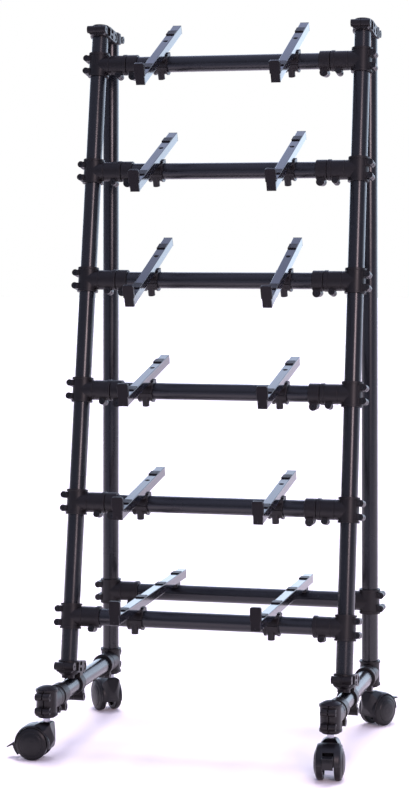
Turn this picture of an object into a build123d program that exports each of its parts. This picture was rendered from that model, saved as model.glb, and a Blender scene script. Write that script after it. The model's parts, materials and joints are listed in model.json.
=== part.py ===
from build123d import *
import math
import os

os.makedirs("parts", exist_ok=True)

# Rolling six-tier rack made of round tube and pinch-bolt fittings.
# Millimetres, +Z up, +X to the right, the open front faces -Y.
# The origin is at the centre of the footprint on the floor.

# ---------------------------------------------------------------- driving dimensions
shift_x = 17.024          # side-to-side centre of the two side frames
rear_y = 262.018          # depth of the rear uprights
half_width = 333.0        # side frame axis to the rack's middle plane
base_depth = 516.0        # front caster fitting to rear upright
rail_z = 131.0            # height of the base rails
lean_deg = 9.6            # backward lean of the front uprights
foot_y = rear_y - 360.0   # front upright axis, extended down to the rail's height

tube_r = 20.0             # outside radius of every round tube
tube_wall = 2.0
tube_fit = 0.1            # radial room in a fitting that is pinched tight

tier_count = 6
tier_pitch = 266.9        # height between tiers
bottom_tier_z = 298.3
rear_tube_z = 308.0       # rear cross tube of the bottom tier
tilts_deg = [24.0, 21.0, 22.0, 12.0, 9.5, 1.5]  # arm tilt, top tier first

socket_r = 24.0           # fitting outside radius
rim_r = 26.0
sleeve_h = 60.0
socket_len = 75.0
boss_r = 8.0
boss_half = 17.5
boss_x = 29.0
boss_z = 16.0
ear_x = 55.0
ear_half = 15.0
slit = 3.0
bolt_r = 3.0
bolt_head_r = 5.0

collar_len = 27.0
collar_gap = 1.0
collar_r = 25.0

elbow_r = 25.0            # elbow rings
elbow_h = 28.0
elbow_slit = 0.8          # nearly closed when the elbow is tight
elbow_arm = 50.0          # upright ring axis to pivot
elbow_link = 42.45        # pivot to the other ring's axis
elbow_ear_y = 31.0
elbow_ear_r = 9.3
elbow_ear_half = 24.0
plug_top = -elbow_h / 2 - 0.4  # seat of the lower plug, under the foot elbow's ring
cheek_t = 8.0
cheek_end_r = 14.0
pivot_r = 5.0

arm_x = 165.0             # arms, either side of the middle plane
arm_w = 22.0
arm_wall = 2.0
arm_base = 25.2           # tube axis to the underside of the arm
arm_front = 214.0
arm_rear = 159.0
long_front = 197.0
long_rear = 404.0
clamp_half = 18.0
clamp_x = -5.0            # clamp ring, to the left of the arm's middle
pad_len = 28.0
pad_t = 3.0
stop_h = 54.0
arm_hole_back = 120.0     # countersunk hole, from the arm's rear end
running_gap = 0.05

wheel_r = 37.5
caster_trail = 29.0
axle_z = 37.5
axle_r = 4.0
tread_in = 13.0
brake_x = caster_trail    # the brake lever turns on the axle
brake_z = axle_z
brake_travel = 30.0
lever_half = 12.3
stem_r = 5.5

lean = math.radians(lean_deg)


def front_axis_y(z):
    """Depth of the leaning front upright's axis at a height."""
    return foot_y + (z - rail_z) * math.tan(lean)


tier_z = [bottom_tier_z + tier_pitch * (tier_count - 1 - i) for i in range(tier_count)]
tier_y = [front_axis_y(z) for z in tier_z]
side_x = {"left": shift_x - half_width, "right": shift_x + half_width}
front_y = rear_y - base_depth

# Foot elbow: its lower ring is square on the rail and its pivot is straight above.
foot_pivot_z = rail_z + elbow_link
foot_ring_z = foot_pivot_z + elbow_arm * math.sin(lean)
foot_ring_y = front_axis_y(foot_ring_z)
foot_pivot_y = foot_ring_y + elbow_arm * math.cos(lean)

# Top elbow: the rear ring is on the rear upright and the pivot is straight ahead of it.
top_pivot_y = rear_y - elbow_link
top_ring_y = top_pivot_y - elbow_arm * math.cos(lean)
top_ring_z = rail_z + (top_ring_y - foot_y) / math.tan(lean)
top_pivot_z = top_ring_z - elbow_arm * math.sin(lean)


def placed(shape, x=0.0, y=0.0, z=0.0, tilt=0.0, turn=0.0):
    """A copy turned about Z, then tilted about X, then moved."""
    return Pos(x, y, z) * Rot(tilt, 0, 0) * Rot(0, 0, turn) * shape


def tube_along_x(x0, x1, y, z):
    """Round tube parallel to X."""
    with BuildPart() as tube:
        with BuildSketch(Plane.YZ.offset(x0)):
            with Locations((y, z)):
                Circle(tube_r)
                Circle(tube_r - tube_wall, mode=Mode.SUBTRACT)
        extrude(amount=x1 - x0)
    return tube.part


def tube_between(x, y0, z0, y1, z1):
    """Round tube between two points of one side frame."""
    length = math.hypot(y1 - y0, z1 - z0)
    frame = Plane(origin=(x, y0, z0), x_dir=(1, 0, 0), z_dir=(0, y1 - y0, z1 - z0))
    with BuildPart() as tube:
        with BuildSketch(frame):
            Circle(tube_r)
            Circle(tube_r - tube_wall, mode=Mode.SUBTRACT)
        extrude(amount=length)
    return tube.part


def make_bolt(length):
    """Socket-head bolt along +Y: head at the origin end, shank behind it."""
    with BuildPart() as bolt:
        with BuildSketch(Plane.XZ):
            Circle(bolt_head_r)
        extrude(amount=-6.0)
        with BuildSketch(Plane.XZ):
            Circle(bolt_r)
        extrude(amount=-length)
        with BuildSketch(Plane.XZ):
            RegularPolygon(2.9, 6)
        extrude(amount=-3.5, mode=Mode.SUBTRACT)
    return bolt.part


def make_tee(groove_x):
    """Tee fitting: sleeve along Z, socket along +X, pinch bosses at -X, ear under the socket."""
    with BuildPart() as tee:
        Cylinder(socket_r, sleeve_h)
        for end in (-1, 1):
            with Locations((0, 0, end * (sleeve_h / 2 - 2.5))):
                Cylinder(rim_r, 5.0)
        with BuildSketch(Plane.YZ):
            Circle(socket_r)
        extrude(amount=socket_len)
        with BuildSketch(Plane.YZ.offset(socket_len - 9.0)):
            Circle(rim_r)
        extrude(amount=9.0)
        chamfer(tee.edges().filter_by(GeomType.CIRCLE).group_by(Axis.X)[-1], 1.2)
        # shallow groove round the socket
        with BuildSketch(Plane.YZ.offset(groove_x)):
            Circle(socket_r + 1.0)
            Circle(socket_r - 1.3, mode=Mode.SUBTRACT)
        extrude(amount=2.6, mode=Mode.SUBTRACT)
        # two pinch bosses on the outer side of the sleeve
        for end in (-1, 1):
            with Locations((-boss_x, 0, end * boss_z)):
                Cylinder(boss_r, 2 * boss_half, rotation=(90, 0, 0))
            with Locations((-boss_x / 2 - 4.0, 0, end * boss_z)):
                Box(boss_x - 8.0, 2 * boss_half - 3.0, 2 * boss_r - 2.0)
        # one pinch ear under the socket
        with Locations((ear_x, 0, -28.0)):
            Cylinder(boss_r, 2 * ear_half, rotation=(90, 0, 0))
        with Locations((ear_x, 0, -20.0)):
            Box(2 * boss_r - 2.0, 2 * ear_half - 3.0, 16.0)
        # bores
        Cylinder(tube_r + tube_fit, sleeve_h + 2.0, mode=Mode.SUBTRACT)
        with BuildSketch(Plane.YZ):
            Circle(tube_r + tube_fit)
        extrude(amount=socket_len + 1.0, mode=Mode.SUBTRACT)
        # slits that let the bolts close the bores
        with Locations((-boss_x, 0, 0)):
            Box(26.0, slit, sleeve_h + 2.0, mode=Mode.SUBTRACT)
        with Locations((ear_x + 5.0, 0, -28.0)):
            Box(34.0, slit, 20.0, mode=Mode.SUBTRACT)
        # bolt holes with a recess for each head
        bolt_spots = [(-boss_x, boss_z, boss_half), (-boss_x, -boss_z, boss_half),
                      (ear_x, -28.0, ear_half)]
        for x, z, half in bolt_spots:
            with Locations((x, 0, z)):
                Cylinder(bolt_r + 0.2, 2 * half + 2.0, rotation=(90, 0, 0), mode=Mode.SUBTRACT)
            with Locations((x, -half, z)):
                Cylinder(bolt_head_r + 0.3, 14.0, rotation=(90, 0, 0), mode=Mode.SUBTRACT)
    return tee.part


def make_collar():
    """Locking collar along X with one large pinch ear below."""
    with BuildPart() as collar:
        with BuildSketch(Plane.YZ.offset(-collar_len / 2)):
            Circle(collar_r)
        extrude(amount=collar_len)
        chamfer(collar.edges().filter_by(GeomType.CIRCLE), 1.0)
        with Locations((2.0, 0, -29.0)):
            Cylinder(10.0, 36.0, rotation=(90, 0, 0))
        with Locations((2.0, 0, -20.0)):
            Box(18.0, 33.0, 18.0)
        with BuildSketch(Plane.YZ.offset(-collar_len)):
            Circle(tube_r + tube_fit)
        extrude(amount=2 * collar_len, mode=Mode.SUBTRACT)
        with Locations((0, 0, -30.0)):
            Box(collar_len + 2.0, slit, 24.0, mode=Mode.SUBTRACT)
        with Locations((2.0, 0, -29.0)):
            Cylinder(bolt_r + 0.2, 40.0, rotation=(90, 0, 0), mode=Mode.SUBTRACT)
        with Locations((2.0, -18.0, -29.0)):
            Cylinder(bolt_head_r + 0.3, 14.0, rotation=(90, 0, 0), mode=Mode.SUBTRACT)
    return collar.part


def make_elbow_arm():
    """Elbow half on the upright: ring along Z, two cheeks to the pivot at +Y, ear at -Y."""
    with BuildPart() as half:
        Cylinder(elbow_r, elbow_h)
        chamfer(half.edges().filter_by(GeomType.CIRCLE), 1.2)
        # cheeks with a round end at the pivot
        with BuildSketch(Plane.YZ.offset(-elbow_r)):
            with Locations((elbow_arm / 2, 0)):
                Rectangle(elbow_arm, 2 * cheek_end_r)
            with Locations((elbow_arm, 0)):
                Circle(cheek_end_r)
        extrude(amount=2 * elbow_r)
        with Locations((0, elbow_arm, 0)):
            Box(2 * (elbow_r - cheek_t), 2 * 23.0, 40.0, mode=Mode.SUBTRACT)
        # front ear
        with Locations((0, -elbow_ear_y, 0)):
            Cylinder(elbow_ear_r, 2 * elbow_ear_half, rotation=(0, 90, 0))
        with Locations((0, -elbow_ear_y + 8.0, 0)):
            Box(2 * elbow_ear_half - 4.0, 16.0, 2 * elbow_ear_r - 2.0)
        # web that tapers from the ear down to the ring's lower edge
        with BuildSketch(Plane.XZ.offset(elbow_ear_y + 2.0)):
            with BuildLine():
                Polyline((-22, -2), (22, -2), (22, -7), (17, -elbow_h / 2 + 0.6),
                         (-17, -elbow_h / 2 + 0.6), (-22, -7), close=True)
            make_face()
        extrude(amount=-elbow_ear_y - 2.0)
        # recessed cells on both sides
        for side in (-1, 1):
            with Locations((side * elbow_r, 19.0, 7.0), (side * elbow_r, 19.0, -7.0)):
                Box(6.0, 17.0, 9.0, mode=Mode.SUBTRACT)
            with Locations((side * elbow_r, -4.0, 0)):
                Box(10.0, 14.0, 20.0, mode=Mode.SUBTRACT)
            with Locations((side * elbow_r, elbow_arm, 0)):
                Cylinder(9.0, 4.0, rotation=(0, 90, 0), mode=Mode.SUBTRACT)
        # bores and slit
        Cylinder(tube_r + tube_fit, elbow_h + 2.0, mode=Mode.SUBTRACT)
        with Locations((0, elbow_arm, 0)):
            Cylinder(pivot_r + 0.1, 3 * elbow_r, rotation=(0, 90, 0), mode=Mode.SUBTRACT)
        with Locations((0, -elbow_ear_y, 0)):
            Box(elbow_slit, 30.0, elbow_h + 2.0, mode=Mode.SUBTRACT)
            Cylinder(bolt_r + 0.2, 60.0, rotation=(0, 90, 0), mode=Mode.SUBTRACT)
        with Locations((-elbow_ear_half, -elbow_ear_y, 0)):
            Cylinder(bolt_head_r + 0.3, 14.0, rotation=(0, 90, 0), mode=Mode.SUBTRACT)
    return half.part


def make_elbow_ring():
    """Elbow half with its ring along Z, knuckle to the pivot at -Y and ear at +Y."""
    with BuildPart() as half:
        Cylinder(elbow_r, elbow_h)
        chamfer(half.edges().filter_by(GeomType.CIRCLE), 1.2)
        with BuildSketch(Plane.YZ.offset(-elbow_r + cheek_t + 0.4)):
            with Locations((-elbow_link / 2, 0)):
                Rectangle(elbow_link, 22.0)
            with Locations((-elbow_link, 0)):
                Circle(11.0)
        extrude(amount=2 * (elbow_r - cheek_t - 0.4))
        with Locations((0, elbow_ear_y, 0)):
            Cylinder(elbow_ear_r, 2 * elbow_ear_half, rotation=(0, 90, 0))
        with Locations((0, elbow_ear_y - 8.0, 0)):
            Box(2 * elbow_ear_half - 4.0, 16.0, 2 * elbow_ear_r - 2.0)
        Cylinder(tube_r + tube_fit, elbow_h + 2.0, mode=Mode.SUBTRACT)
        with Locations((0, -elbow_link, 0)):
            Cylinder(pivot_r + 0.1, 3 * elbow_r, rotation=(0, 90, 0), mode=Mode.SUBTRACT)
        with Locations((0, elbow_ear_y, 0)):
            Box(elbow_slit, 30.0, elbow_h + 2.0, mode=Mode.SUBTRACT)
            Cylinder(bolt_r + 0.2, 60.0, rotation=(0, 90, 0), mode=Mode.SUBTRACT)
        with Locations((-elbow_ear_half, elbow_ear_y, 0)):
            Cylinder(bolt_head_r + 0.3, 14.0, rotation=(0, 90, 0), mode=Mode.SUBTRACT)
    return half.part


def make_arm(front, rear, holed):
    """Square hollow arm along Y over a tube whose axis is at the origin."""
    middle = (rear - front) / 2
    with BuildPart() as arm:
        with Locations((0, middle, arm_base + arm_w / 2)):
            Box(arm_w, front + rear, arm_w)
        fillet(arm.edges().filter_by(Axis.Y), 1.5)
        with Locations((0, middle, arm_base + arm_w / 2)):
            Box(arm_w - 2 * arm_wall, front + rear + 2.0, arm_w - 2 * arm_wall,
                mode=Mode.SUBTRACT)
        if holed:
            with Locations((0, rear - arm_hole_back, arm_base + arm_w - 1.0)):
                Cone(3.8, 7.2, 2.2, mode=Mode.SUBTRACT)
    return arm.part


def make_arm_clamp(upper_lip):
    """Arm clamp: ring along X on the cross tube, saddle above, bolt boss in front below."""
    with BuildPart() as clamp:
        with BuildSketch(Plane.YZ.offset(clamp_x - clamp_half)):
            Circle(elbow_r - 0.5)
        extrude(amount=2 * clamp_half)
        for end in (-1, 1):
            with Locations((clamp_x + end * (clamp_half - 2.0), 0, 0)):
                Cylinder(26.5, 4.0, rotation=(0, 90, 0))
        # saddle that carries the arm, with a lip on each side
        with Locations((0, 0, arm_base / 2)):
            Box(30.0, 36.0, arm_base)
        for side in (-1, 1):
            with Locations((side * 13.2, 0, arm_base + upper_lip / 2 - 0.5)):
                Box(3.6, 18.0, upper_lip + 1.0)
        with Locations((clamp_x, -15.0, -16.5)):
            Cylinder(8.5, 33.0)
        with BuildSketch(Plane.YZ.offset(clamp_x - clamp_half - 1.0)):
            Circle(tube_r + running_gap)
        extrude(amount=2 * clamp_half + 5.0, mode=Mode.SUBTRACT)
        # flat seat for the arm's underside
        with Locations((0, 0, arm_base + 5.0)):
            Box(arm_w + 0.6, 60.0, 10.0, mode=Mode.SUBTRACT)
        # the ring is split in front, above the boss
        with Locations((clamp_x, -26.0, 1.5)):
            Box(2 * clamp_half + 2.0, 16.0, 1.5, mode=Mode.SUBTRACT)
        # bolt recess from below
        with Locations((clamp_x, -15.0, -30.0)):
            Cylinder(bolt_head_r + 0.3, 8.0, mode=Mode.SUBTRACT)
    return clamp.part


def make_arm_bolt():
    """Short socket-head bolt in the boss of an arm clamp, head downwards."""
    with BuildPart() as bolt:
        with Locations((clamp_x, -15.0, -29.2)):
            Cylinder(bolt_head_r, 6.0)
        with Locations((clamp_x, -15.0, -32.0)):
            Cylinder(2.4, 3.0, mode=Mode.SUBTRACT)
    return bolt.part


def make_front_stop(front):
    """Plug, end plate and raised stop at the arm's front end."""
    top = arm_base + stop_h
    with BuildPart() as stop:
        with Locations((0, -front + 7.0, arm_base + arm_w / 2)):
            Box(arm_w - 2 * arm_wall - 0.4, 14.0, arm_w - 2 * arm_wall - 0.4)
        with Locations((0, -front - 3.0, arm_base + arm_w / 2)):
            Box(arm_w, 6.0, arm_w)
        with BuildSketch(Plane.XZ.offset(front + 6.0)):
            with Locations((0, (top + arm_base + arm_w) / 2)):
                RectangleRounded(26.0, stop_h - arm_w, 5.0)
            with Locations((0, arm_base + arm_w + 4.0)):
                Rectangle(26.0, 8.0)
        extrude(amount=-9.0)
        with Locations((0, -front - 6.0, arm_base + 6.0)):
            Cylinder(1.7, 3.0, rotation=(90, 0, 0), mode=Mode.SUBTRACT)
        fillet(stop.edges().group_by(Axis.Y)[0].filter_by(Axis.X), 1.0)
    return stop.part


def make_rear_plug(rear):
    """Rounded plug that closes the arm's rear end."""
    with BuildPart() as plug:
        with Locations((0, rear + 2.5, arm_base + arm_w / 2)):
            Box(arm_w, 5.0, arm_w)
        fillet(plug.edges().group_by(Axis.Y)[-1], 3.0)
        with Locations((0, rear - 6.0, arm_base + arm_w / 2)):
            Box(arm_w - 2 * arm_wall - 0.4, 12.2, arm_w - 2 * arm_wall - 0.4)
    return plug.part


def make_pads(centres):
    """Rubber pads on the arm's top face."""
    pads = []
    for centre in centres:
        with BuildPart() as pad:
            with Locations((0, centre, arm_base + arm_w + pad_t / 2)):
                Box(arm_w, pad_len, pad_t)
            chamfer(pad.edges().group_by(Axis.Z)[-1], 0.8)
        pads.append(pad.part)
    return pads


def make_column():
    """Column of a caster hood: rounded nose about the stem and a domed top."""
    with BuildPart() as column:
        with BuildSketch(Plane.XZ.offset(-24.0)):
            with BuildLine():
                Polyline((-12.5, 86), (11, 86), (24, 80.5), (29, 79), (29, 76.5),
                         (8, 71.5), (-7, 55), (-11.5, 38), (-11.5, 31), (-14, 31.5),
                         (-19.5, 44), (-20, 50), (-18, 62), close=True)
            make_face()
        extrude(amount=48.0)
        fillet(column.edges().filter_by(Axis.Y).group_by(Axis.Z)[-1], 4.0)
        # nose rounded in plan
        with BuildSketch():
            with Locations((5.0, 0)):
                Circle(25.0)
            with Locations((20.0, 0)):
                Rectangle(30.0, 50.0)
        extrude(amount=100.0, mode=Mode.INTERSECT)
        # top rounded from side to side
        with BuildSketch(Plane.YZ.offset(-30.0)):
            with BuildLine():
                Polyline((-9, 87), (-24.5, 60), (-24.5, 20), (24.5, 20), (24.5, 60))
                ThreePointArc((24.5, 60), (20.5, 77.5), (9, 87))
                Line((9, 87), (-9, 87))
            make_face()
            with BuildLine():
                ThreePointArc((-24.5, 60), (-20.5, 77.5), (-9, 87))
                Line((-9, 87), (-24.5, 60))
            make_face()
        extrude(amount=80.0, mode=Mode.INTERSECT)
    return column.part


def make_hood():
    """Caster hood: stem on the origin's axis, wheels trailing towards +X."""
    column_shape = make_column()
    axle_point = (caster_trail, 0, axle_z)
    section_plane = Plane(origin=axle_point, x_dir=(0, 1, 0), z_dir=(0, 0, -1))
    with BuildPart() as hood:
        # crowned mudguard over both wheels, swept about the axle
        with BuildSketch(section_plane):
            with BuildLine():
                Polyline((-27, 38.9), (-27, 40.0), (-23, 41.9), (-14, 43.2), (14, 43.2),
                         (23, 41.9), (27, 40.0), (27, 38.9), close=True)
            make_face()
        revolve(axis=Axis(axle_point, (0, -1, 0)), revolution_arc=195)
        # notch for the brake lever
        with Locations((72.0, 0, 48.0)):
            Box(30.0, 25.4, 36.0, mode=Mode.SUBTRACT)
        # column that holds the stem
        add(column_shape)
        # centre web down to the axle, between the lever's side arms
        with BuildSketch(Plane.XZ.offset(-9.5)):
            with BuildLine():
                Polyline((-12, 36), (20, 28), (29, 26), (38, 28), (42, 37.5),
                         (44, 60), (44, 73), (8, 75), (-14, 60), close=True)
            make_face()
        extrude(amount=19.0)
        # holes for the axle and the stem
        with Locations((caster_trail, 0, axle_z)):
            Cylinder(axle_r + 0.05, 40.0, rotation=(90, 0, 0), mode=Mode.SUBTRACT)
        with Locations((0, 0, 76.0)):
            Cylinder(stem_r + running_gap, 22.0, mode=Mode.SUBTRACT)
    return hood.part


def make_wheel():
    """One caster wheel on the +Y side of its own centre, axis along Y."""
    with BuildPart() as wheel:
        with BuildSketch(Plane(origin=(0, 0, 0), x_dir=(0, 1, 0), z_dir=(1, 0, 0))):
            with BuildLine():
                Polyline((tread_in, 0), (tread_in, 36.2), (14.3, wheel_r), (25, wheel_r),
                         (27, 36.6), (29.5, 32), (30.5, 28.5), (30.0, 27.5), (32.0, 25.5),
                         (34.0, 18), (35, 8), (35, 0), close=True)
            make_face()
        revolve(axis=Axis.Y)
        with Locations((0, 12.0, 0)):
            Cylinder(axle_r + running_gap, 36.8, rotation=(90, 0, 0), mode=Mode.SUBTRACT)
        # lightening groove on the inner face
        with BuildSketch(Plane(origin=(0, 0, 0), x_dir=(0, 1, 0), z_dir=(1, 0, 0))):
            with Locations((16.0, 20.5)):
                Rectangle(8.0, 17.0)
        revolve(axis=Axis.Y, mode=Mode.SUBTRACT)
    return wheel.part


def make_brake_lever():
    """Brake lever in the released position, in the caster's own frame."""
    with BuildPart() as lever:
        # side arms between the hood's web and the wheels, with an eye on the axle
        for side in (-1, 1):
            with BuildSketch(Plane.XZ.offset(-side * (lever_half - 1.2) - 1.2)):
                with Locations((brake_x, brake_z)):
                    Circle(8.0)
                with BuildLine():
                    Polyline((brake_x - 1, brake_z + 7.8), (70.5, 59.5), (75.5, 38),
                             (brake_x + 1, brake_z - 7.8), close=True)
                make_face()
            extrude(amount=2.4)
        # foot pad with a curved shoe below it
        with BuildSketch(Plane.XZ.offset(-lever_half)):
            with BuildLine():
                Polyline((69.5, 61), (90.5, 60), (91, 57.5), (76.5, 56), (77.8, 47),
                         (77.8, 38), (77, 31.5), (74.6, 31), (74.6, 38), (74, 46),
                         (71.5, 54), (68.5, 58.5), close=True)
            make_face()
        extrude(amount=2 * lever_half)
        with Locations((brake_x, 0, brake_z)):
            Cylinder(axle_r + running_gap, 40.0, rotation=(90, 0, 0), mode=Mode.SUBTRACT)
    return lever.part


def make_cap(radius, rise):
    """Domed cap with a flat underside at Z = 0."""
    dome = rise - 1.5
    dome_r = (radius ** 2 + dome ** 2) / (2 * dome)
    half_angle = math.asin(radius / dome_r) / 2
    middle = (dome_r * math.sin(half_angle), rise - dome_r * (1 - math.cos(half_angle)))
    with BuildPart() as cap:
        with BuildSketch(Plane.XZ):
            with BuildLine():
                Polyline((0, rise), (0, 0), (radius, 0), (radius, 1.5))
                ThreePointArc((radius, 1.5), middle, (0, rise))
            make_face()
        revolve(axis=Axis.Z)
    return cap.part


def make_lower_plug():
    """Tapered plug that closes the leaning upright's lower end, under the elbow ring."""
    with BuildPart() as plug:
        with BuildSketch(Plane.XZ):
            with BuildLine():
                Polyline((0, -4), (tube_r - tube_wall - 0.2, -4),
                         (tube_r - tube_wall - 0.2, plug_top), (23.5, plug_top),
                         (23.0, plug_top - 1.5), (15.5, plug_top - 6.5), (15.0, plug_top - 8.0),
                         (15.0, -28.0), (0, -28.0), close=True)
            make_face()
        revolve(axis=Axis.Z)
    return plug.part


def save(builder, label):
    """Name a finished sub-part and write its file."""
    builder.part.label = label
    export_step(builder.part, "parts/" + label + ".step")


# ---------------------------------------------------------------- frame tubes
with BuildPart() as base_rails:
    for x in side_x.values():
        add(tube_between(x, front_y + tube_r + 1.0, rail_z, rear_y - tube_r - 1.0, rail_z))
save(base_rails, "base_rails")

rear_top_z = top_pivot_z + elbow_h / 2 + 1.0
with BuildPart() as rear_uprights:
    for x in side_x.values():
        add(tube_between(x, rear_y, rail_z - sleeve_h / 2, rear_y, rear_top_z))
save(rear_uprights, "rear_uprights")

front_bottom_z = foot_ring_z + (plug_top + 0.1) * math.cos(lean)
front_top_z = top_ring_z + (elbow_h / 2 + 1.0) * math.cos(lean)
with BuildPart() as front_uprights:
    for x in side_x.values():
        add(tube_between(x, front_axis_y(front_bottom_z), front_bottom_z,
                         front_axis_y(front_top_z), front_top_z))
save(front_uprights, "front_uprights")

cross_x0 = side_x["left"] + tube_r + 1.0
cross_x1 = side_x["right"] - tube_r - 1.0
rear_cross_z = tier_z[-1] + (rear_y - tier_y[-1]) * math.tan(math.radians(tilts_deg[-1]))
with BuildPart() as cross_tubes:
    for y, z in zip(tier_y, tier_z):
        add(tube_along_x(cross_x0, cross_x1, y, z))
    add(tube_along_x(cross_x0, cross_x1, rear_y, rear_cross_z))
save(cross_tubes, "cross_tubes")

# ---------------------------------------------------------------- fittings and their bolts
tee_left = make_tee(30.0)
tee_right = mirror(tee_left, about=Plane.YZ)
base_tee = make_tee(46.0)
collar_left = make_collar()
collar_right = mirror(collar_left, about=Plane.YZ)
long_bolt = make_bolt(31.0)
short_bolt = make_bolt(26.0)
tee_bolts_left = [Pos(-boss_x, 0.9 - boss_half, boss_z) * long_bolt,
                  Pos(-boss_x, 0.9 - boss_half, -boss_z) * long_bolt,
                  Pos(ear_x, 0.9 - ear_half, -28.0) * short_bolt]
tee_bolts_right = [mirror(bolt, about=Plane.YZ) for bolt in tee_bolts_left]
collar_bolt_left = Pos(2.0, 0.9 - 18.0, -29.0) * make_bolt(31.0)
collar_bolt_right = mirror(collar_bolt_left, about=Plane.YZ)
collar_x = socket_len + collar_gap + collar_len / 2
bolts = []


def add_tee_bolts(tee_bolts, x, y, z, tilt, turn):
    """Put one tee's three bolts on the list."""
    for bolt in tee_bolts:
        bolts.append(placed(bolt, x, y, z, tilt, turn))


with BuildPart() as front_tees:
    for y, z in zip(tier_y, tier_z):
        add(placed(tee_left, side_x["left"], y, z, -lean_deg))
        add(placed(tee_right, side_x["right"], y, z, -lean_deg))
        add_tee_bolts(tee_bolts_left, side_x["left"], y, z, -lean_deg, 0)
        add_tee_bolts(tee_bolts_right, side_x["right"], y, z, -lean_deg, 0)
save(front_tees, "front_tees")

with BuildPart() as rear_tees:
    add(placed(tee_left, side_x["left"], rear_y, rear_cross_z))
    add(placed(tee_right, side_x["right"], rear_y, rear_cross_z))
    add_tee_bolts(tee_bolts_left, side_x["left"], rear_y, rear_cross_z, 0, 0)
    add_tee_bolts(tee_bolts_right, side_x["right"], rear_y, rear_cross_z, 0, 0)
save(rear_tees, "rear_tees")

with BuildPart() as base_tees:
    for x in side_x.values():
        add(placed(base_tee, x, front_y, rail_z, 0, 90))
        add(placed(base_tee, x, rear_y, rail_z, 0, -90))
        add_tee_bolts(tee_bolts_left, x, front_y, rail_z, 0, 90)
        add_tee_bolts(tee_bolts_left, x, rear_y, rail_z, 0, -90)
save(base_tees, "base_tees")

with BuildPart() as locking_collars:
    for y, z in list(zip(tier_y, tier_z))[:-1]:
        left = side_x["left"] + collar_x
        right = side_x["right"] - collar_x
        add(placed(collar_left, left, y, z))
        add(placed(collar_right, right, y, z))
        bolts.append(placed(collar_bolt_left, left, y, z))
        bolts.append(placed(collar_bolt_right, right, y, z))
    for x in side_x.values():
        add(placed(collar_left, x, front_y + collar_x, rail_z, 0, 90))
        bolts.append(placed(collar_bolt_left, x, front_y + collar_x, rail_z, 0, 90))
save(locking_collars, "locking_collars")

# elbows: head on the outer side of each bolt's ear
elbow_bolt = Rot(0, 0, -90) * make_bolt(40.0)
arm_half = make_elbow_arm()
ring_half = make_elbow_ring()
arm_half_bolt = Pos(0.9 - elbow_ear_half, -elbow_ear_y, 0) * elbow_bolt
ring_half_bolt = Pos(0.9 - elbow_ear_half, elbow_ear_y, 0) * elbow_bolt
arm_spots = [(foot_ring_y, foot_ring_z), (top_ring_y, top_ring_z)]
ring_spots = [(foot_pivot_y, rail_z, -90), (rear_y, top_pivot_z, 0)]
pivot_spots = [(foot_pivot_y, foot_pivot_z), (top_pivot_y, top_pivot_z)]

with BuildPart() as elbow_arm_clamps:
    for x in side_x.values():
        for y, z in arm_spots:
            add(placed(arm_half, x, y, z, -lean_deg))
            bolts.append(placed(arm_half_bolt, x, y, z, -lean_deg))
save(elbow_arm_clamps, "elbow_arm_clamps")

with BuildPart() as elbow_ring_clamps:
    for x in side_x.values():
        for y, z, tilt in ring_spots:
            add(placed(ring_half, x, y, z, tilt))
            bolts.append(placed(ring_half_bolt, x, y, z, tilt))
save(elbow_ring_clamps, "elbow_ring_clamps")

with BuildPart() as elbow_pins:
    for x in side_x.values():
        for y, z in pivot_spots:
            with Locations((x, y, z)):
                Cylinder(pivot_r, 2 * elbow_r - 3.0, rotation=(0, 90, 0))
save(elbow_pins, "elbow_pins")

with BuildPart() as frame_bolts:
    for bolt in bolts:
        add(bolt)
save(frame_bolts, "frame_bolts")

# ---------------------------------------------------------------- caps, caster sockets, stems
plug_shape = make_lower_plug()
with BuildPart() as tube_caps:
    for x in side_x.values():
        add(placed(make_cap(23.0, 9.0), x, front_y, rail_z + sleeve_h / 2))
        add(placed(make_cap(tube_r, 3.0), x, rear_y, rear_top_z))
        add(placed(make_cap(tube_r, 3.0), x, front_axis_y(front_top_z), front_top_z, -lean_deg))
        add(placed(plug_shape, x, foot_ring_y, foot_ring_z, -lean_deg))
save(tube_caps, "tube_caps")

socket_bottom = rail_z - sleeve_h / 2 - 4.0
with BuildPart() as caster_sockets:
    for x in side_x.values():
        for y, radius, top in ((front_y, tube_r, rail_z + 28.0), (rear_y, 17.9, rail_z + 20.0)):
            with Locations((x, y, (socket_bottom + top) / 2)):
                Cylinder(radius, top - socket_bottom)
            with Locations((x, y, socket_bottom + 1.9)):
                Cone(19.5, 23.0, 3.8)
            with Locations((x, y, socket_bottom + 17.0)):
                Cylinder(stem_r + 0.1, 34.2, mode=Mode.SUBTRACT)
save(caster_sockets, "caster_sockets")

caster_spots = {
    "front_left": (side_x["left"], front_y, 180.0, True),
    "front_right": (side_x["right"], front_y, 275.0, False),
    "rear_left": (side_x["left"], rear_y, 129.0, False),
    "rear_right": (side_x["right"], rear_y, 58.0, False),
}
with BuildPart() as caster_stems:
    for x, y, _, _ in caster_spots.values():
        with Locations((x, y, (66.0 + socket_bottom + 33.0) / 2)):
            Cylinder(stem_r, socket_bottom + 33.0 - 66.0)
        with Locations((x, y, (86.4 + socket_bottom) / 2)):
            Cylinder(8.0, socket_bottom - 86.4)
save(caster_stems, "caster_stems")

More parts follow.
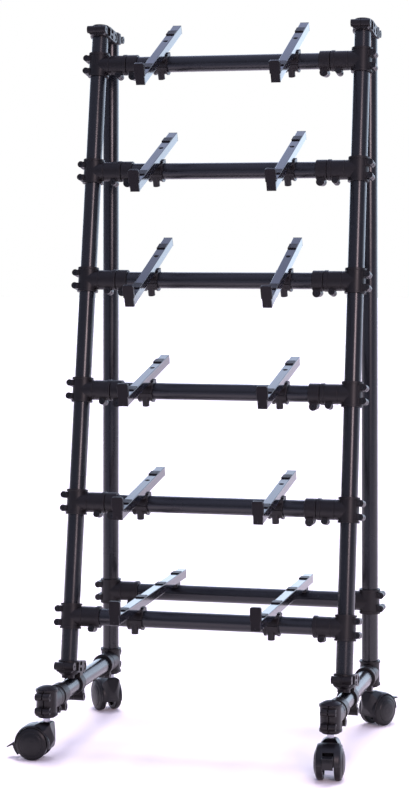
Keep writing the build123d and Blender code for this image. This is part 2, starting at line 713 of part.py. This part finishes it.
# ---------------------------------------------------------------- casters
hood = make_hood()
wheel = Pos(caster_trail, 0, axle_z) * make_wheel()
far_wheel = mirror(wheel, about=Plane.XZ)
lever = make_brake_lever()
brake_pin = Axis((brake_x, 0, brake_z), (0, 1, 0))
for corner, (x, y, heading, braked) in caster_spots.items():
    with BuildPart() as caster_hood:
        add(placed(hood, x, y, 0, 0, heading))
    save(caster_hood, corner + "_caster_hood")
    with BuildPart() as caster_axle:
        with Locations((caster_trail, 0, axle_z)):
            Cylinder(axle_r, 60.0, rotation=(90, 0, 0))
    caster_axle.part = placed(caster_axle.part, x, y, 0, 0, heading)
    save(caster_axle, corner + "_caster_axle")
    with BuildPart() as wheel_a:
        add(placed(wheel, x, y, 0, 0, heading))
    save(wheel_a, corner + "_wheel_a")
    with BuildPart() as wheel_b:
        add(placed(far_wheel, x, y, 0, 0, heading))
    save(wheel_b, corner + "_wheel_b")
    with BuildPart() as brake_lever:
        pose = lever.rotate(brake_pin, brake_travel) if braked else lever
        add(placed(pose, x, y, 0, 0, heading))
    save(brake_lever, corner + "_brake_lever")

# ---------------------------------------------------------------- bottom tier, on both cross tubes
long_arm = make_arm(long_front, long_rear, False)
long_pads = make_pads([64.0 - long_front, 222.0 - long_front,
                       395.0 - long_front, 545.0 - long_front])
rear_seat_y = (rear_y - tier_y[-1]) / math.cos(math.radians(tilts_deg[-1]))
with BuildPart() as rear_seat:
    with Locations((0, rear_seat_y, (arm_base + 16.0) / 2)):
        Box(arm_w, 30.0, arm_base - 16.0)
    with Locations((0, rear_seat_y, 0)):
        Cylinder(tube_r + tube_fit, 40.0, rotation=(0, 90, 0), mode=Mode.SUBTRACT)


def on_tier(shapes, tier):
    """Left and right copies of arm pieces, tilted about their tier's cross tube."""
    copies = []
    for side in (-1, 1):
        for shape in shapes:
            copies.append(placed(shape, shift_x + side * arm_x, tier_y[tier], tier_z[tier],
                                 tilts_deg[tier]))
    return copies


clamp_shape = make_arm_clamp(3.0)
clamp_bolt = make_arm_bolt()
bottom_tier = {
    "bottom_arms": [long_arm],
    "bottom_arm_clamps": [clamp_shape, clamp_bolt],
    "bottom_arm_seats": [rear_seat.part],
    "bottom_arm_end_caps": [make_front_stop(long_front), make_rear_plug(long_rear)],
    "bottom_arm_pads": long_pads,
}
for label, shapes in bottom_tier.items():
    with BuildPart() as piece:
        for copy in on_tier(shapes, tier_count - 1):
            add(copy)
    save(piece, label)

# ---------------------------------------------------------------- tilting tiers
short_arm = make_arm(arm_front, arm_rear, True)
short_pads = make_pads([67.0 - arm_front, arm_rear - 58.0])
short_caps = [make_front_stop(arm_front), make_rear_plug(arm_rear)]
tier_shapes = {
    "arms": [short_arm],
    "arm_clamps": [clamp_shape, clamp_bolt],
    "arm_end_caps": short_caps,
    "arm_pads": short_pads,
}
for tier in range(tier_count - 1):
    for suffix, shapes in tier_shapes.items():
        with BuildPart() as piece:
            for copy in on_tier(shapes, tier):
                add(copy)
        save(piece, "tier_" + str(tier + 1) + "_" + suffix)
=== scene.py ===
import json
import math

import bmesh
import bpy
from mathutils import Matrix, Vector


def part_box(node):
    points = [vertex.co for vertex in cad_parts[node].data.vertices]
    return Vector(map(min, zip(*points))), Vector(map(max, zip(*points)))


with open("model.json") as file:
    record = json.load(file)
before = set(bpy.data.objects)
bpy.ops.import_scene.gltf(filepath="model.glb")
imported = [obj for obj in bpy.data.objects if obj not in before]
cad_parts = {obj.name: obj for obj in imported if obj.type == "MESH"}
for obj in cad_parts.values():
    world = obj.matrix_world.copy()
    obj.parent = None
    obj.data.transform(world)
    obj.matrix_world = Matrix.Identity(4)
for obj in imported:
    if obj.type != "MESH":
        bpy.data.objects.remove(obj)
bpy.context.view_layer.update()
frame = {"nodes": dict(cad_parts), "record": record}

nodes = frame["nodes"]
scene = bpy.context.scene

# ---------------------------------------------------------------- camera
# Side frames stand symmetrically about this x, and the rear uprights at this y.
rail_lo, rail_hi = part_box("base_rails")
mid_x = (rail_lo.x + rail_hi.x) / 2
rear_y = (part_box("rear_uprights")[0].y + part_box("rear_uprights")[1].y) / 2

SENSOR = 36.0
FOCAL_PX = 2141.7
FRAME_H = 800.0
AZIMUTH = 14.094
ELEVATION = -0.569
# metres: right of the mid plane, in front of the rear uprights, above the floor
CAMERA_RIGHT = 1.2302
CAMERA_FRONT = 5.2309
CAMERA_HEIGHT = 1.1939
LENS_SHIFT_X = -0.0021
LENS_SHIFT_Y = -0.2250

cam_data = bpy.data.cameras.new("Camera")
cam_data.sensor_width = SENSOR
cam_data.lens = FOCAL_PX / FRAME_H * SENSOR
cam_data.shift_y = LENS_SHIFT_Y
cam_data.shift_x = LENS_SHIFT_X
camera = bpy.data.objects.new("Camera", cam_data)
scene.collection.objects.link(camera)
az, el = math.radians(AZIMUTH), math.radians(ELEVATION)
back = Vector((math.sin(az) * math.cos(el), -math.cos(az) * math.cos(el), math.sin(el)))
camera.location = (mid_x + CAMERA_RIGHT, rear_y - CAMERA_FRONT, CAMERA_HEIGHT)
camera.rotation_mode = "QUATERNION"
camera.rotation_quaternion = (-back).to_track_quat("-Z", "Y")
scene.camera = camera
scene.view_settings.view_transform = "Standard"


# ---------------------------------------------------------------- materials
def socket_set(shader, **values):
    """Set a shader's sockets by name, with spaces written as underscores."""
    for name, value in values.items():
        shader.inputs[name.replace("_", " ")].default_value = value


def new_material(name):
    """An empty node material with a Principled shader on its output."""
    mat = bpy.data.materials.new(name)
    mat.use_nodes = True
    tree = mat.node_tree
    shader = tree.nodes["Principled BSDF"]
    return mat, tree, shader


def add_noise(tree, scale, detail=3.0, rough=0.5, stretch=(1.0, 1.0, 1.0)):
    """Noise in object space, in cells per metre."""
    coords = tree.nodes.new("ShaderNodeTexCoord")
    mapping = tree.nodes.new("ShaderNodeMapping")
    mapping.inputs["Scale"].default_value = stretch
    noise = tree.nodes.new("ShaderNodeTexNoise")
    noise.inputs["Scale"].default_value = scale
    noise.inputs["Detail"].default_value = detail
    noise.inputs["Roughness"].default_value = rough
    tree.links.new(coords.outputs["Object"], mapping.inputs["Vector"])
    tree.links.new(mapping.outputs["Vector"], noise.inputs["Vector"])
    return noise


def add_range(tree, value, low_in, high_in, low_out, high_out):
    """Map a value to a new range, clamped."""
    node = tree.nodes.new("ShaderNodeMapRange")
    node.inputs["From Min"].default_value = low_in
    node.inputs["From Max"].default_value = high_in
    node.inputs["To Min"].default_value = low_out
    node.inputs["To Max"].default_value = high_out
    tree.links.new(value, node.inputs["Value"])
    return node.outputs["Result"]


def add_mix(tree, factor, colour_a, colour_b):
    """Mix two colours, each a tuple or another node's output."""
    node = tree.nodes.new("ShaderNodeMix")
    node.data_type = "RGBA"
    tree.links.new(factor, node.inputs["Factor"])
    for name, colour in (("A", colour_a), ("B", colour_b)):
        target = [s for s in node.inputs if s.name == name and s.type == "RGBA"][0]
        if isinstance(colour, tuple):
            target.default_value = (*colour, 1.0)
        else:
            tree.links.new(colour, target)
    return [s for s in node.outputs if s.type == "RGBA"][0]


def add_edge_mask(tree, radius):
    """(mask that is 1 on worn edges, rounded normal)."""
    bevel = tree.nodes.new("ShaderNodeBevel")
    bevel.samples = 4
    bevel.inputs["Radius"].default_value = radius
    geometry = tree.nodes.new("ShaderNodeNewGeometry")
    dot = tree.nodes.new("ShaderNodeVectorMath")
    dot.operation = "DOT_PRODUCT"
    tree.links.new(bevel.outputs["Normal"], dot.inputs[0])
    tree.links.new(geometry.outputs["Normal"], dot.inputs[1])
    mask = add_range(tree, dot.outputs["Value"], 0.985, 0.86, 0.0, 1.0)
    return mask, bevel.outputs["Normal"]


def coated(name, base, wear, rough, rough_spread, grain, grain_depth, edge=0.0007,
           specular=0.5, metallic=0.0, mottle=1.25, mottle_scale=14.0,
           stretch=(1.0, 1.0, 1.0), edge_amount=0.8, round_edges=True):
    """A surface with mottled colour, worn edges, uneven gloss and a fine grain."""
    mat, tree, shader = new_material(name)
    mask, normal = add_edge_mask(tree, edge)
    broad = add_noise(tree, mottle_scale, 4.0, 0.55, stretch)
    fine = add_noise(tree, grain, 2.0, 0.6, stretch)
    lighter = tuple(min(1.0, c * mottle) for c in base)
    blotches = add_range(tree, broad.outputs["Fac"], 0.35, 0.65, 0.0, 1.0)
    tone = add_mix(tree, blotches, base, lighter)
    worn = tree.nodes.new("ShaderNodeMath")
    worn.operation = "MULTIPLY"
    tree.links.new(mask, worn.inputs[0])
    patchy = add_range(tree, broad.outputs["Fac"], 0.3, 0.7, 0.15 * edge_amount, edge_amount)
    tree.links.new(patchy, worn.inputs[1])
    tree.links.new(add_mix(tree, worn.outputs["Value"], tone, wear), shader.inputs["Base Color"])
    gloss = add_range(tree, broad.outputs["Fac"], 0.3, 0.7,
                      rough - rough_spread, rough + rough_spread)
    tree.links.new(gloss, shader.inputs["Roughness"])
    bump = tree.nodes.new("ShaderNodeBump")
    bump.inputs["Strength"].default_value = 0.6
    bump.inputs["Distance"].default_value = grain_depth
    tree.links.new(fine.outputs["Fac"], bump.inputs["Height"])
    if round_edges:
        tree.links.new(normal, bump.inputs["Normal"])
    tree.links.new(bump.outputs["Normal"], shader.inputs["Normal"])
    socket_set(shader, Metallic=metallic, Specular_IOR_Level=specular)
    return mat


tube_coat = coated("tube_coat", (0.004, 0.004, 0.006), (0.03, 0.03, 0.035), 0.26, 0.02, 700.0,
                   0.00001, specular=0.5, round_edges=False)
arm_coat = coated("arm_coat", (0.005, 0.005, 0.008), (0.08, 0.08, 0.09), 0.13, 0.02, 600.0,
                  0.00001, specular=0.5, edge=0.0010)
cast_coat = coated("cast_coat", (0.006, 0.0045, 0.005), (0.04, 0.036, 0.038), 0.42, 0.06, 1500.0,
                   0.00008, specular=0.30, edge=0.0012)
dark_bolt = coated("dark_bolt", (0.02, 0.02, 0.022), (0.10, 0.10, 0.11), 0.34, 0.06, 1200.0,
                   0.00003, metallic=0.6, edge=0.0003)
stem_chrome = coated("stem_chrome", (0.30, 0.31, 0.34), (0.6, 0.6, 0.62), 0.20, 0.04, 900.0,
                     0.00001, metallic=1.0, edge=0.0004)
cap_plastic = coated("cap_plastic", (0.006, 0.0045, 0.0055), (0.10, 0.10, 0.12), 0.38, 0.05,
                     1100.0, 0.00005, specular=0.18, edge=0.0012)
pad_rubber = coated("pad_rubber", (0.007, 0.006, 0.007), (0.03, 0.03, 0.03), 0.50, 0.08, 1400.0,
                    0.00012, specular=0.35, edge=0.0006)
caster_nylon = coated("caster_nylon", (0.0035, 0.003, 0.004), (0.03, 0.03, 0.03), 0.34, 0.04, 900.0,
                      0.00003, specular=0.36, edge=0.0024)
wheel_nylon = coated("wheel_nylon", (0.003, 0.0026, 0.0032), (0.03, 0.03, 0.03), 0.38, 0.05, 900.0,
                     0.00004, specular=0.30, edge=0.0012)

by_slot = {
    "tube": tube_coat, "arm": arm_coat, "fitting": cast_coat, "bolt": dark_bolt,
    "chrome": stem_chrome,
    "plastic": cap_plastic, "rubber": pad_rubber, "caster_plastic": caster_nylon,
    "wheel": wheel_nylon,
}
slot_of = {part["node"]: part["material_slot"] for part in frame["record"]["subparts"]}
for name, obj in nodes.items():
    obj.data.materials.clear()
    obj.data.materials.append(by_slot[slot_of[name]])

# ---------------------------------------------------------------- floor, light and backdrop
floor_mat, floor_tree, floor_shader = new_material("floor")
floor_noise = add_noise(floor_tree, 3.0, 2.0)
near_tone = add_mix(floor_tree, floor_noise.outputs["Fac"],
                    (0.94, 0.84, 0.86), (0.95, 0.86, 0.88))
# the white sweep fades out between these two y, and the studio floor nearer the camera is darker
SWEEP_END_Y = -1.9
SWEEP_START_Y = -0.9
FLOOR_RADIUS = 40.0
FLOOR_DROP = 0.0005
floor_place = floor_tree.nodes.new("ShaderNodeTexCoord")
floor_split = floor_tree.nodes.new("ShaderNodeSeparateXYZ")
floor_tree.links.new(floor_place.outputs["Object"], floor_split.inputs["Vector"])
sweep = add_range(floor_tree, floor_split.outputs["Y"], SWEEP_END_Y, SWEEP_START_Y, 0.0, 1.0)
floor_tone = add_mix(floor_tree, sweep, (0.36, 0.37, 0.43), near_tone)
floor_tree.links.new(floor_tone, floor_shader.inputs["Base Color"])
socket_set(floor_shader, Roughness=0.9, Specular_IOR_Level=0.1)
floor_mesh = bpy.data.meshes.new("floor")
shape = bmesh.new()
bmesh.ops.create_circle(shape, cap_ends=True, segments=96, radius=FLOOR_RADIUS)
shape.to_mesh(floor_mesh)
shape.free()
floor = bpy.data.objects.new("floor", floor_mesh)
scene.collection.objects.link(floor)
floor.location = (0, 0, -FLOOR_DROP)
floor_mesh.materials.append(floor_mat)

world = bpy.data.worlds.new("World")
scene.world = world
world.use_nodes = True
sky = world.node_tree
direction = sky.nodes.new("ShaderNodeTexCoord")
split = sky.nodes.new("ShaderNodeSeparateXYZ")
sky.links.new(direction.outputs["Generated"], split.inputs["Vector"])
# a bright blue-white backdrop behind and to the right, a dim studio in front
toward = sky.nodes.new("ShaderNodeVectorMath")
toward.operation = "DOT_PRODUCT"
toward.inputs[1].default_value = (0.19, 0.98, 0.0)
sky.links.new(direction.outputs["Generated"], toward.inputs[0])
backdrop = add_range(sky, toward.outputs["Value"], 0.48, 0.66, 0.0, 1.0)
height = add_range(sky, split.outputs["Z"], 0.15, 0.75, 0.0, 1.0)
front_tone = add_mix(sky, height, (0.30, 0.33, 0.44), (0.62, 0.66, 0.95))
back_tone = add_mix(sky, height, (2.2, 2.6, 3.2), (0.72, 0.80, 1.30))
tone = add_mix(sky, backdrop, front_tone, back_tone)
rays = sky.nodes.new("ShaderNodeLightPath")
seen = add_mix(sky, rays.outputs["Is Camera Ray"], tone, (1.0, 1.0, 1.0))
sky.links.new(seen, sky.nodes["Background"].inputs["Color"])
sky.nodes["Background"].inputs["Strength"].default_value = 1.0


def add_light(name, place, target, size, size_y, power, colour):
    """A rectangular softbox aimed at a point."""
    data = bpy.data.lights.new(name, "AREA")
    data.shape = "RECTANGLE"
    data.size, data.size_y = size, size_y
    data.energy = power
    data.color = colour
    lamp = bpy.data.objects.new(name, data)
    scene.collection.objects.link(lamp)
    lamp.location = place
    aim = Vector(target) - Vector(place)
    lamp.rotation_mode = "QUATERNION"
    lamp.rotation_quaternion = aim.to_track_quat("-Z", "Y")
    return lamp


KEY_PLACE = (2.3, -3.7, 2.15)
KEY_TARGET = (0, 0, 1.5)
KEY_SIZE = (1.0, 1.9)
KEY_POWER = 95.0
KEY_COLOUR = (1.0, 0.78, 0.83)
SUN_ENERGY = 3.0
SUN_ANGLE = 34
SUN_TILT = -14

add_light("key_box", KEY_PLACE, KEY_TARGET, *KEY_SIZE, KEY_POWER, KEY_COLOUR)
sun_data = bpy.data.lights.new("overhead", "SUN")
sun_data.energy = SUN_ENERGY
sun_data.angle = math.radians(SUN_ANGLE)
sun_data.color = (1.0, 0.97, 1.0)
sun = bpy.data.objects.new("overhead", sun_data)
scene.collection.objects.link(sun)
sun.rotation_euler = (math.radians(SUN_TILT), 0, 0)
sun.visible_glossy = False
